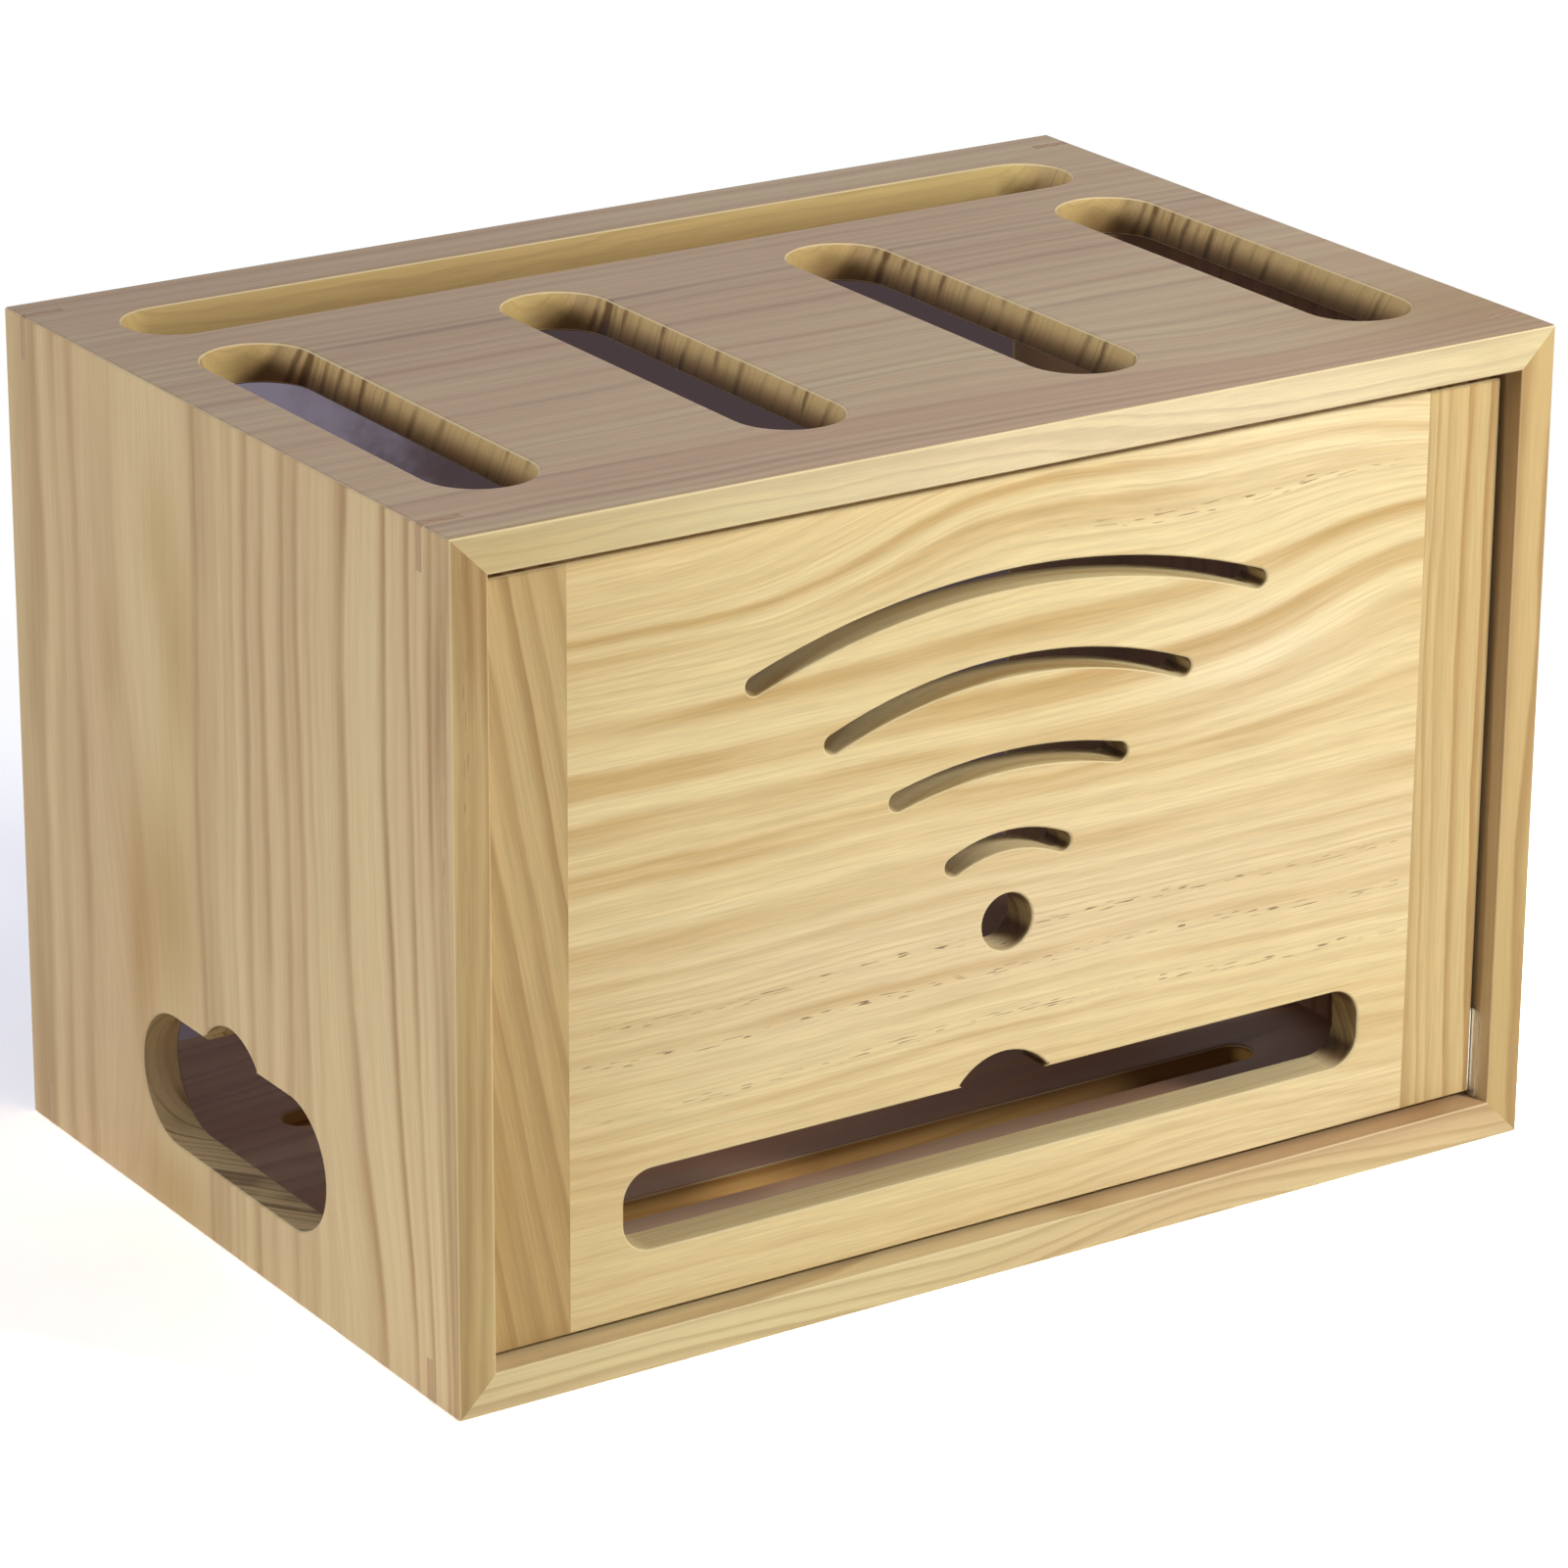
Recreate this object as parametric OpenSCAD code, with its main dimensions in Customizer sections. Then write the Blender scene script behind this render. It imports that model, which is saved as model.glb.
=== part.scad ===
// Router storage box: a case of four mitred boards, open at the back, with a drop-down front door.
// X runs across the front, Y from front to back and Z up. The origin lies on the surface that
// the case stands on, below the middle of the case.

/* [Case] */
// Width across the front
case_w = 380; // [350:5:480]
// Depth from front to back
case_d = 260; // [230:5:340]
// Height
case_h = 260; // [230:5:340]
// Thickness of the four boards
board_t = 12.5; // [11:0.5:18]
// Chamfer that breaks the edges of the boards and of the cut-outs
arris = 0.8; // [0.4:0.1:1.2]

/* [Corner keys] */
// Length of a key along each face of its corner
key_leg = 13.5; // [10:0.5:15]
// Thickness of a key
key_t = 3.2; // [2:0.2:5]
// Front edge of the case to the middle of the front keys
key_front = 16; // [12:1:30]
// Back edge of the case to the middle of the back keys
key_back = 12; // [8:1:30]

/* [Top slots] */
// Number of short slots
top_slot_count = 4; // [3:1:5]
// Width of a short slot
top_slot_w = 33.5; // [20:0.5:36]
// Front edge of the case to the short slots
top_slot_front = 31.5; // [28:0.5:60]
// Wood between the short slots and the long slot
top_slot_web = 16.5; // [10:0.5:30]
// Width of the long rear slot
rear_slot_w = 31; // [15:1:40]
// Wood behind the long rear slot
rear_slot_back = 23; // [20:1:40]
// Side of the case to the ends of the slots
top_slot_margin = 21; // [20:0.5:40]

/* [Bottom slots] */
// Width of a bottom slot
bottom_slot_w = 12; // [8:0.5:30]
// Side of the case to the ends of the bottom slots
bottom_slot_margin = 48; // [25:1:80]
// Front or back edge of the case to the middle of its bottom slot
bottom_slot_inset = 74; // [40:1:90]

/* [Side cable holes] */
// Length of a side hole
side_hole_len = 111; // [70:1:140]
// Height of a side hole without its arch
side_hole_h = 41; // [20:1:50]
// Standing surface to the lower edge of a side hole
side_hole_rise = 23.7; // [20:0.5:50]

/* [Arch over the long openings] */
// Width of the arch at its foot
arch_w = 34.6; // [28:0.2:40]
// Height of the arch
arch_h = 8.3; // [5:0.1:9]
// Radius of the hollow corner at each foot
arch_foot_r = 2; // [1.5:0.5:5]

/* [Door] */
// Thickness of the door
door_t = 13; // [12:0.5:16]
// Front of the case to the front of the door
door_recess = 7.2; // [4:0.2:12]
// Gap between the door and each side of the case
door_side_gap = 1.5; // [1.4:0.1:2.5]
// Gap under the door
door_bottom_gap = 1.5; // [1.2:0.1:3]
// Finger gap over the door
door_top_gap = 3.5; // [2:0.1:5]
// Width of the upright at each end of the door
stile_w = 27; // [20:1:40]
// Thickness of the tongue at each end of the panel
tongue_t = 4.4; // [3:0.2:6]
// Length of that tongue
tongue_len = 6; // [4:0.5:10]
// Room for the tongue in its groove on each side
tongue_fit = 0.1; // [0.05:0.05:0.3]

/* [Door cut-outs] */
// End of the panel to the end of the long slot
door_slot_margin = 18; // [12:1:40]
// Height of the long slot without its arch
door_slot_h = 25; // [15:1:32]
// Lower edge of the door to the long slot
door_slot_rise = 19.8; // [14:0.2:28]
// Corner radius of the long slot
door_slot_r = 9.5; // [5:0.5:12]
// Diameter of the round hole
dot_d = 17.6; // [10:0.2:24]
// Width of the curved slots
arc_slot_w = 6; // [4.5:0.5:10]

/* [Flap hinges] */
// Thickness of a hinge leaf
leaf_t = 1.2; // [0.8:0.1:1.2]
// Height of a leaf
leaf_h = 29; // [27:0.5:34]
// Width of the leaf on the case
case_leaf_w = 14.8; // [13:0.2:16]
// Width of the leaf on the door
door_leaf_w = 9; // [8:0.2:10]
// Corner radius of a leaf
leaf_r = 3; // [1:0.5:4]
// Front of the door to the hinge pin
pin_back = 5; // [4.4:0.1:6]
// Lower edge of the door to the hinge pin
pin_rise = 10; // [9:0.5:14]
// Diameter of the hinge pin
pin_d = 3; // [2:0.1:3.4]
// Diameter of the head of the hinge pin
pin_head_d = 5.2; // [4.4:0.1:6]
// Thickness of that head
pin_head_t = 1; // [0.6:0.1:1.5]
// Running clearance round the pin
pin_clear = 0.05; // [0.02:0.01:0.1]

/* [Wood screws] */
// Diameter of the screw shank
screw_d = 2.2; // [1.8:0.1:2.6]
// Diameter of the countersunk head
screw_head_d = 4.4; // [3.8:0.1:5]
// Depth of the countersunk head
screw_head_t = 1.1; // [0.9:0.1:1.2]
// Whole length of a screw
screw_len = 9.5; // [7:0.5:10]
// Clearance round a screw
screw_clear = 0.05; // [0.02:0.01:0.1]

/* [Magnetic catch] */
// Length of the catch housing
catch_w = 45; // [40:1:50]
// Depth of the catch housing
catch_d = 14; // [12:0.5:16]
// Height of the catch housing
catch_h = 11; // [10:0.5:13]
// Length of the middle of the housing, between its screw ears
catch_core_w = 28; // [24:1:29]
// Thickness of a screw ear
ear_t = 3; // [2:0.5:4]
// Length of the magnet
magnet_w = 22; // [16:1:23]
// Height of the magnet
magnet_h = 4.6; // [3:0.2:5]
// Thickness of a pole plate
pole_t = 1; // [0.6:0.1:1.2]
// How far the pole plates stand out of the housing
pole_proud = 0.8; // [0.4:0.1:1.2]
// Gap between the pole plates and the closed strike plate
catch_gap = 0.3; // [0.2:0.1:0.6]
// Length of the strike plate
strike_w = 34; // [28:1:42]
// Height of the strike plate
strike_h = 13; // [11:0.5:15]
// Thickness of the strike plate
strike_t = 1.2; // [1.2:0.1:1.6]
// Upper edge of the door to the strike plate
strike_drop = 1; // [0.5:0.1:3]

/* [Hidden] */
$fn = 64;

// How far every cut runs past the face that it leaves
overrun = 1;

// Inside of the case
inner_w = case_w - 2 * board_t;
inner_h = case_h - 2 * board_t;
front_y = -case_d / 2;
back_y = case_d / 2;
wall_x = inner_w / 2;

// Slots in the top board
slot_run_w = case_w - 2 * top_slot_margin;
top_slot_pitch = (slot_run_w - top_slot_w) / (top_slot_count - 1);
rear_slot_y = back_y - rear_slot_back - rear_slot_w / 2;
top_slot_len = case_d - rear_slot_back - rear_slot_w - top_slot_web - top_slot_front;
top_slot_y = front_y + top_slot_front + top_slot_len / 2;

// Slots in the bottom board
bottom_slot_len = case_w - 2 * bottom_slot_margin;
bottom_slot_y = case_d / 2 - bottom_slot_inset;

// Arch: a crown arc that runs smoothly into a hollow arc at each foot
arch_crown_r = (pow(arch_w / 2, 2) + pow(arch_h, 2)) / (2 * arch_h) - arch_foot_r;
arch_turn = asin(arch_w / 2 / (arch_crown_r + arch_foot_r));

// Door
door_w = inner_w - 2 * door_side_gap;
door_h = inner_h - door_bottom_gap - door_top_gap;
door_z = board_t + door_bottom_gap;
door_front_y = front_y + door_recess;
door_y = door_front_y + door_t / 2;
door_back_y = door_front_y + door_t;
panel_w = door_w - 2 * stile_w;
groove_t = tongue_t + 2 * tongue_fit;
groove_len = tongue_len + tongue_fit;

// Cut-outs in the door: heights follow the door's height, widths follow its width
door_slot_len = panel_w - 2 * door_slot_margin;
dot_rise_share = 0.408;
arc_crown_shares = [0.518, 0.625, 0.749, 0.864];
arc_reach_shares = [0.0543, 0.1102, 0.1736, 0.2489];
// Rise of each curved slot as a share of its reach to one side
arc_rise_shares = [0.23, 0.131, 0.193, 0.18];

// Hinges
pin_y = door_front_y + pin_back;
pin_z = door_z + pin_rise;
leaf_foot_gap = 0.3;
case_leaf_z = board_t + leaf_foot_gap;
door_leaf_z = door_z + leaf_foot_gap;
pin_pocket_d = pin_head_d + 2 * leaf_foot_gap;
pin_pocket_t = pin_head_t + leaf_foot_gap;
door_edge_x = door_w / 2;
// Hinge screws stand above the pin, the upper one near the end of the leaf
leaf_screw_rises = [7, 13.5];

// Catch under the top board and strike plate on the back of the door
strike_z = door_z + door_h - strike_drop - strike_h;
strike_back_y = door_back_y + strike_t;
pole_front_y = strike_back_y + catch_gap;
catch_front_y = pole_front_y + pole_proud;
catch_top_z = case_h - board_t;
pole_drop = (catch_h - magnet_h) / 2 - pole_t;
pole_back_gap = 2;
pole_len = catch_d + pole_proud - pole_back_gap;
catch_ear_w = (catch_w - catch_core_w) / 2;
catch_screw_x = (catch_w - catch_ear_w) / 2;
strike_screw_x = strike_w / 2 - strike_h / 2;
strike_r = 2;

// Screw point and cross recess
screw_tip_d = 0.5;
screw_tip_t = 2.4;
recess_w = 0.6;
recess_len = 2.6;
recess_t = 0.6;

// An outline that is half wide at its waist and opens by the arris at both of its ends
function flared(half, reach) = [
    [half, -(reach - arris)],
    [half, reach - arris],
    [half + arris + overrun, reach + overrun],
    [-half - arris - overrun, reach + overrun],
    [-half, reach - arris],
    [-half, -(reach - arris)],
    [-half - arris - overrun, -(reach + overrun)],
    [half + arris + overrun, -(reach + overrun)]
];

// A rectangle about the origin with its corners cut off by the arris
function broken_box(w, h) = [
    [w / 2, h / 2 - arris], [w / 2 - arris, h / 2],
    [-w / 2 + arris, h / 2], [-w / 2, h / 2 - arris],
    [-w / 2, -h / 2 + arris], [-w / 2 + arris, -h / 2],
    [w / 2 - arris, -h / 2], [w / 2, -h / 2 + arris]
];

// Extrusions about the origin along each axis
module along_x(len) rotate([90, 0, 90]) linear_extrude(len, center = true) children();
module along_y(len) rotate([90, 0, 0]) linear_extrude(len, center = true) children();
module along_z(len) linear_extrude(len, center = true) children();

// A block about the origin with all of its edges broken
module broken_block(w, d, h) {
    intersection() {
        along_x(w + overrun) polygon(broken_box(d, h));
        along_y(d + overrun) polygon(broken_box(w, h));
        along_z(h + overrun) polygon(broken_box(w, d));
    }
}

// Cuts through a board that lies flat about the origin, with their edges broken on both faces

// Right half of the outline of a cut, for turning about an axis
function flared_half(r, t) = [
    [0, -(t / 2 + overrun)],
    [r + arris + overrun, -(t / 2 + overrun)],
    [r, -(t / 2 - arris)],
    [r, t / 2 - arris],
    [r + arris + overrun, t / 2 + overrun],
    [0, t / 2 + overrun]
];

module round_cut(r, t) rotate_extrude() polygon(flared_half(r, t));

module straight_cut(len, w, t) along_x(len) polygon(flared(w / 2, t / 2));

module slot_cut(len, w, t) {
    for (side = [-1, 1]) translate([side * (len - w) / 2, 0, 0]) round_cut(w / 2, t);
    straight_cut(len - w, w, t);
}

module rounded_slot_cut(len, w, r, t) {
    for (side = [-1, 1], end = [-1, 1])
        translate([side * (len / 2 - r), end * (w / 2 - r), 0]) round_cut(r, t);
    straight_cut(len - 2 * r, w, t);
    rotate([0, 0, 90]) straight_cut(w - 2 * r, len, t);
}

// A post that stays standing in a cut, with its edges broken on both faces
module hollow_post(r, t) {
    rotate_extrude() polygon([
        [0, -(t / 2 + 2 * overrun)],
        [r - arris, -(t / 2 + 2 * overrun)],
        [r - arris, -t / 2],
        [r, -(t / 2 - arris)],
        [r, t / 2 - arris],
        [r - arris, t / 2],
        [r - arris, t / 2 + 2 * overrun],
        [0, t / 2 + 2 * overrun]
    ]);
}

// The arch that rises from a straight upper edge, where y is zero
module arch_cut(t) {
    thick = t + 2 * overrun;
    crown_y = arch_h - arch_crown_r;
    reach = arch_crown_r + arch_foot_r;
    foot = arch_w / 2;
    intersection() {
        translate([0, crown_y, 0]) round_cut(arch_crown_r, t);
        along_z(thick) polygon([
            [0, crown_y],
            [2 * reach * sin(arch_turn), crown_y + 2 * reach * cos(arch_turn)],
            [-2 * reach * sin(arch_turn), crown_y + 2 * reach * cos(arch_turn)]
        ]);
        translate([0, reach - overrun, 0]) cube([2 * reach, 2 * reach, thick], center = true);
    }
    for (side = [-1, 1]) difference() {
        along_z(thick) polygon([
            [0, -overrun],
            [side * foot, -overrun],
            [side * foot, arch_foot_r],
            [0, crown_y]
        ]);
        translate([side * foot, arch_foot_r, 0]) hollow_post(arch_foot_r, t);
    }
}

// A curved slot with round ends, its crown at the origin
module arc_cut(reach, rise, w, t) {
    r = (reach * reach + rise * rise) / (2 * rise);
    turn = asin(reach / r);
    translate([0, -r, 0]) {
        rotate([0, 0, 90 - turn]) rotate_extrude(angle = 2 * turn, $fn = 256)
            translate([r, 0]) polygon(flared(w / 2, t / 2));
        for (side = [-1, 1])
            rotate([0, 0, side * turn]) translate([0, r, 0]) round_cut(w / 2, t);
    }
}

// The case as one tube with broken edges, before the mitres part it
module case_tube() {
    difference() {
        translate([0, 0, case_h / 2]) broken_block(case_w, case_d, case_h);
        translate([0, 0, case_h / 2]) intersection() {
            along_z(case_h) polygon(flared(wall_x, case_d / 2));
            along_x(case_w) polygon([for (p = flared(inner_h / 2, case_d / 2)) [p[1], p[0]]]);
        }
    }
}

// The wedge that one board takes from the tube: its outer face is across long, at height high
module mitre_wedge(across, high) {
    deep = 2 * board_t;
    along_y(case_d + 2 * overrun) polygon([
        [-across / 2 - overrun, high + overrun],
        [across / 2 + overrun, high + overrun],
        [across / 2 - deep, high - deep],
        [-across / 2 + deep, high - deep]
    ]);
}

// One key across each corner at the front and the back, let in flush
module key_places() {
    for (side = [-1, 1], y = [front_y + key_front, back_y - key_back])
        for (up = [0, 1])
            translate([0, y, up * case_h]) mirror([0, 0, 1 - up]) scale([side, 1, 1])
                along_y(key_t) polygon([
                    [case_w / 2 + overrun, overrun],
                    [case_w / 2 - key_leg - overrun, overrun],
                    [case_w / 2 + overrun, -key_leg - overrun]
                ]);
}

module mitre_keys() {
    color("sienna") intersection() {
        key_places();
        translate([0, 0, case_h / 2]) broken_block(case_w, case_d, case_h);
    }
}

module top_board() {
    color("tan") difference() {
        intersection() {
            case_tube();
            mitre_wedge(case_w, case_h);
        }
        key_places();
        translate([0, 0, case_h - board_t / 2]) {
            for (i = [0:top_slot_count - 1])
                translate([-slot_run_w / 2 + top_slot_w / 2 + i * top_slot_pitch, top_slot_y, 0])
                    rotate([0, 0, 90]) slot_cut(top_slot_len, top_slot_w, board_t);
            translate([0, rear_slot_y, 0]) slot_cut(slot_run_w, rear_slot_w, board_t);
        }
        catch_screw_places() screw_bore();
    }
}

module bottom_board() {
    color("burlywood") difference() {
        intersection() {
            case_tube();
            translate([0, 0, case_h]) mirror([0, 0, 1]) mitre_wedge(case_w, case_h);
        }
        key_places();
        for (side = [-1, 1])
            translate([0, side * bottom_slot_y, board_t / 2])
                slot_cut(bottom_slot_len, bottom_slot_w, board_t);
    }
}

// A side board: side is -1 at the left and 1 at the right
module side_board(side) {
    color("wheat") difference() {
        intersection() {
            case_tube();
            translate([0, 0, case_h / 2]) rotate([0, side * 90, 0]) mitre_wedge(case_h, case_w / 2);
        }
        key_places();
        translate([side * (wall_x + board_t / 2), 0, side_hole_rise + side_hole_h / 2])
            rotate([90, 0, 90]) {
                slot_cut(side_hole_len, side_hole_h, board_t);
                translate([0, side_hole_h / 2, 0]) arch_cut(board_t);
            }
        case_leaf_screw_places(side) screw_bore();
    }
}

module left_side() side_board(-1);

module right_side() side_board(1);

// The panel with a tongue along each end and all of its cut-outs
module door_panel() {
    color("khaki") difference() {
        translate([0, door_y, door_z]) {
            translate([0, 0, door_h / 2]) along_x(panel_w) polygon(broken_box(door_t, door_h));
            translate([0, 0, door_h / 2])
                cube([panel_w + 2 * tongue_len, tongue_t, door_h - 2 * arris], center = true);
        }
        translate([0, door_y, door_z]) rotate([90, 0, 0]) {
            translate([0, door_slot_rise + door_slot_h / 2, 0])
                rounded_slot_cut(door_slot_len, door_slot_h, door_slot_r, door_t);
            translate([0, door_slot_rise + door_slot_h, 0]) arch_cut(door_t);
            translate([0, dot_rise_share * door_h, 0]) round_cut(dot_d / 2, door_t);
            for (i = [0:len(arc_crown_shares) - 1])
                translate([0, arc_crown_shares[i] * door_h, 0])
                    arc_cut(
                        arc_reach_shares[i] * door_w,
                        arc_rise_shares[i] * arc_reach_shares[i] * door_w,
                        arc_slot_w, door_t
                    );
        }
        strike_screw_places() screw_bore();
    }
}

// An upright that the panel's tongue enters, with the hinge leaf let into its outer edge
module door_stile(side) {
    color("moccasin") difference() {
        translate([side * (door_edge_x - stile_w / 2), door_y, door_z + door_h / 2])
            intersection() {
                along_z(door_h) polygon([
                    [-side * stile_w / 2, -door_t / 2],
                    [side * (stile_w / 2 - arris), -door_t / 2],
                    [side * stile_w / 2, -door_t / 2 + arris],
                    [side * stile_w / 2, door_t / 2 - arris],
                    [side * (stile_w / 2 - arris), door_t / 2],
                    [-side * stile_w / 2, door_t / 2]
                ]);
                along_x(stile_w) polygon(broken_box(door_t, door_h));
                along_y(door_t) polygon([
                    [-side * stile_w / 2, -door_h / 2],
                    [side * (stile_w / 2 - arris), -door_h / 2],
                    [side * stile_w / 2, -door_h / 2 + arris],
                    [side * stile_w / 2, door_h / 2 - arris],
                    [side * (stile_w / 2 - arris), door_h / 2],
                    [-side * stile_w / 2, door_h / 2]
                ]);
            }
        translate([side * panel_w / 2, door_y, door_z + door_h / 2])
            cube([2 * groove_len, groove_t, door_h + 2 * overrun], center = true);
        translate([side * (door_edge_x - leaf_t / 2), pin_y, door_leaf_z])
            leaf_blank(door_leaf_w, leaf_t, door_leaf_z - door_z + overrun);
        translate([side * (door_edge_x - leaf_t - pin_pocket_t / 2), pin_y, pin_z])
            rotate([0, 90, 0]) cylinder(d = pin_pocket_d, h = pin_pocket_t, center = true);
        door_leaf_screw_places(side) screw_bore();
    }
}

module door_stile_left() door_stile(-1);

module door_stile_right() door_stile(1);

// A flat hinge leaf that stands on z zero, with its length carried down by drop
module leaf_blank(w, t, drop) {
    for (end = [-1, 1])
        translate([0, end * (w / 2 - leaf_r), leaf_h - leaf_r]) rotate([0, 90, 0])
            cylinder(r = leaf_r, h = t, center = true);
    translate([0, 0, (leaf_h - leaf_r - drop) / 2])
        cube([t, w, leaf_h - leaf_r + drop], center = true);
    translate([0, 0, leaf_h / 2]) cube([t, w - 2 * leaf_r, leaf_h], center = true);
}

// The leaf screwed to the inside of the case, its front edge standing out past the door
module case_leaf(side) {
    color("silver") difference() {
        translate([side * (wall_x - leaf_t / 2), pin_y, case_leaf_z])
            leaf_blank(case_leaf_w, leaf_t, 0);
        hinge_bore(side);
        case_leaf_screw_places(side) screw_bore();
    }
}

module case_leaf_left() case_leaf(-1);

module case_leaf_right() case_leaf(1);

// The leaf let into the edge of the door
module door_leaf(side) {
    color("silver") difference() {
        translate([side * (door_edge_x - leaf_t / 2), pin_y, door_leaf_z])
            leaf_blank(door_leaf_w, leaf_t, 0);
        hinge_bore(side);
        door_leaf_screw_places(side) screw_bore();
    }
}

module door_leaf_left() door_leaf(-1);

module door_leaf_right() door_leaf(1);

// The bore that both leaves share with the pin
module hinge_bore(side) {
    translate([side * door_edge_x, pin_y, pin_z]) rotate([0, 90, 0])
        cylinder(d = pin_d + 2 * pin_clear, h = 2 * (door_side_gap + leaf_t + overrun), center = true);
}

// A pin fixed in the case leaf, with a head behind the door leaf
module hinge_pin(side) {
    inner_x = door_edge_x - leaf_t - pin_clear;
    color("gray") translate([0, pin_y, pin_z]) rotate([0, side * 90, 0]) {
        translate([0, 0, inner_x]) cylinder(d = pin_d, h = wall_x - inner_x);
        translate([0, 0, inner_x - pin_head_t]) cylinder(d = pin_head_d, h = pin_head_t);
    }
}

module hinge_pin_left() hinge_pin(-1);

module hinge_pin_right() hinge_pin(1);

// A countersunk screw below z zero, where the top of its head lies
module wood_screw() {
    difference() {
        union() {
            translate([0, 0, -screw_head_t])
                cylinder(d1 = screw_d, d2 = screw_head_d, h = screw_head_t);
            translate([0, 0, -screw_len + screw_tip_t])
                cylinder(d = screw_d, h = screw_len - screw_tip_t - screw_head_t);
            translate([0, 0, -screw_len])
                cylinder(d1 = screw_tip_d, d2 = screw_d, h = screw_tip_t);
        }
        for (turn = [0, 90]) rotate([0, 0, turn])
            cube([recess_len, recess_w, 2 * recess_t], center = true);
    }
}

// The room that a screw takes
module screw_bore() {
    translate([0, 0, -screw_head_t])
        cylinder(d1 = screw_d + 2 * screw_clear, d2 = screw_head_d + 2 * screw_clear, h = screw_head_t);
    translate([0, 0, -screw_clear]) cylinder(d = screw_head_d + 2 * screw_clear, h = overrun);
    translate([0, 0, -screw_len - screw_clear])
        cylinder(d = screw_d + 2 * screw_clear, h = screw_len);
}

module case_leaf_screw_places(side) {
    for (rise = leaf_screw_rises)
        translate([side * (wall_x - leaf_t), pin_y, pin_z + rise])
            rotate([0, -side * 90, 0]) children();
}

module door_leaf_screw_places(side) {
    for (rise = leaf_screw_rises)
        translate([side * door_edge_x, pin_y, pin_z + rise])
            rotate([0, side * 90, 0]) children();
}

module case_leaf_screws() {
    color("dimgray") for (side = [-1, 1]) case_leaf_screw_places(side) wood_screw();
}

module door_leaf_screws() {
    color("dimgray") for (side = [-1, 1]) door_leaf_screw_places(side) wood_screw();
}

// Places of the catch screws, which point up into the top board
module catch_screw_places() {
    for (side = [-1, 1])
        translate([side * catch_screw_x, catch_front_y + catch_d / 2, catch_top_z - ear_t])
            rotate([180, 0, 0]) children();
}

// The catch housing: a core with a screw ear at each end, open at the front for the pole plates
module catch_housing() {
    color("whitesmoke") difference() {
        translate([0, catch_front_y, catch_top_z]) {
            translate([0, catch_d / 2, -catch_h / 2])
                along_y(catch_d) polygon(broken_box(catch_core_w, catch_h));
            for (side = [-1, 1]) translate([side * catch_screw_x, catch_d / 2, -ear_t / 2]) {
                cylinder(d = catch_ear_w, h = ear_t, center = true);
                translate([-side * catch_ear_w / 2, 0, 0])
                    cube([catch_ear_w, catch_ear_w, ear_t], center = true);
            }
        }
        magnet_space(magnet_w, 2 * pole_t + magnet_h, overrun);
        catch_screw_places() screw_bore();
    }
}

// A block of the given width and height about the middle of the magnet
module magnet_space(w, h, ahead) {
    translate([-w / 2, catch_front_y - ahead, catch_top_z - catch_h / 2 - h / 2])
        cube([w, catch_d - pole_back_gap + ahead, h]);
}

module catch_magnet() {
    color("darkslategray") magnet_space(magnet_w, magnet_h, 0);
}

module catch_pole_plates() {
    color("silver") for (side = [-1, 1])
        translate([
            -magnet_w / 2, pole_front_y,
            catch_top_z - catch_h / 2 + side * (magnet_h + pole_t) / 2 - pole_t / 2
        ])
            cube([magnet_w, pole_len, pole_t]);
}

module catch_screws() {
    color("dimgray") catch_screw_places() wood_screw();
}

// Places of the strike screws, which point forward into the door
module strike_screw_places() {
    for (side = [-1, 1])
        translate([side * strike_screw_x, strike_back_y, strike_z + strike_h / 2])
            rotate([-90, 0, 0]) children();
}

module strike_plate() {
    color("silver") difference() {
        translate([0, door_back_y + strike_t / 2, strike_z + strike_h / 2]) {
            cube([strike_w - 2 * strike_r, strike_t, strike_h], center = true);
            cube([strike_w, strike_t, strike_h - 2 * strike_r], center = true);
            for (side = [-1, 1], end = [-1, 1])
                translate([side * (strike_w / 2 - strike_r), 0, end * (strike_h / 2 - strike_r)])
                    rotate([90, 0, 0]) cylinder(r = strike_r, h = strike_t, center = true);
        }
        strike_screw_places() screw_bore();
    }
}

module strike_screws() {
    color("dimgray") strike_screw_places() wood_screw();
}

top_board();
bottom_board();
left_side();
right_side();
mitre_keys();
door_panel();
door_stile_left();
door_stile_right();
case_leaf_left();
case_leaf_right();
door_leaf_left();
door_leaf_right();
hinge_pin_left();
hinge_pin_right();
case_leaf_screws();
door_leaf_screws();
catch_housing();
catch_magnet();
catch_pole_plates();
catch_screws();
strike_plate();
strike_screws();
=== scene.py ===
import math

import bmesh
import bpy
import numpy as np
from mathutils import Matrix, Vector


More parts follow.
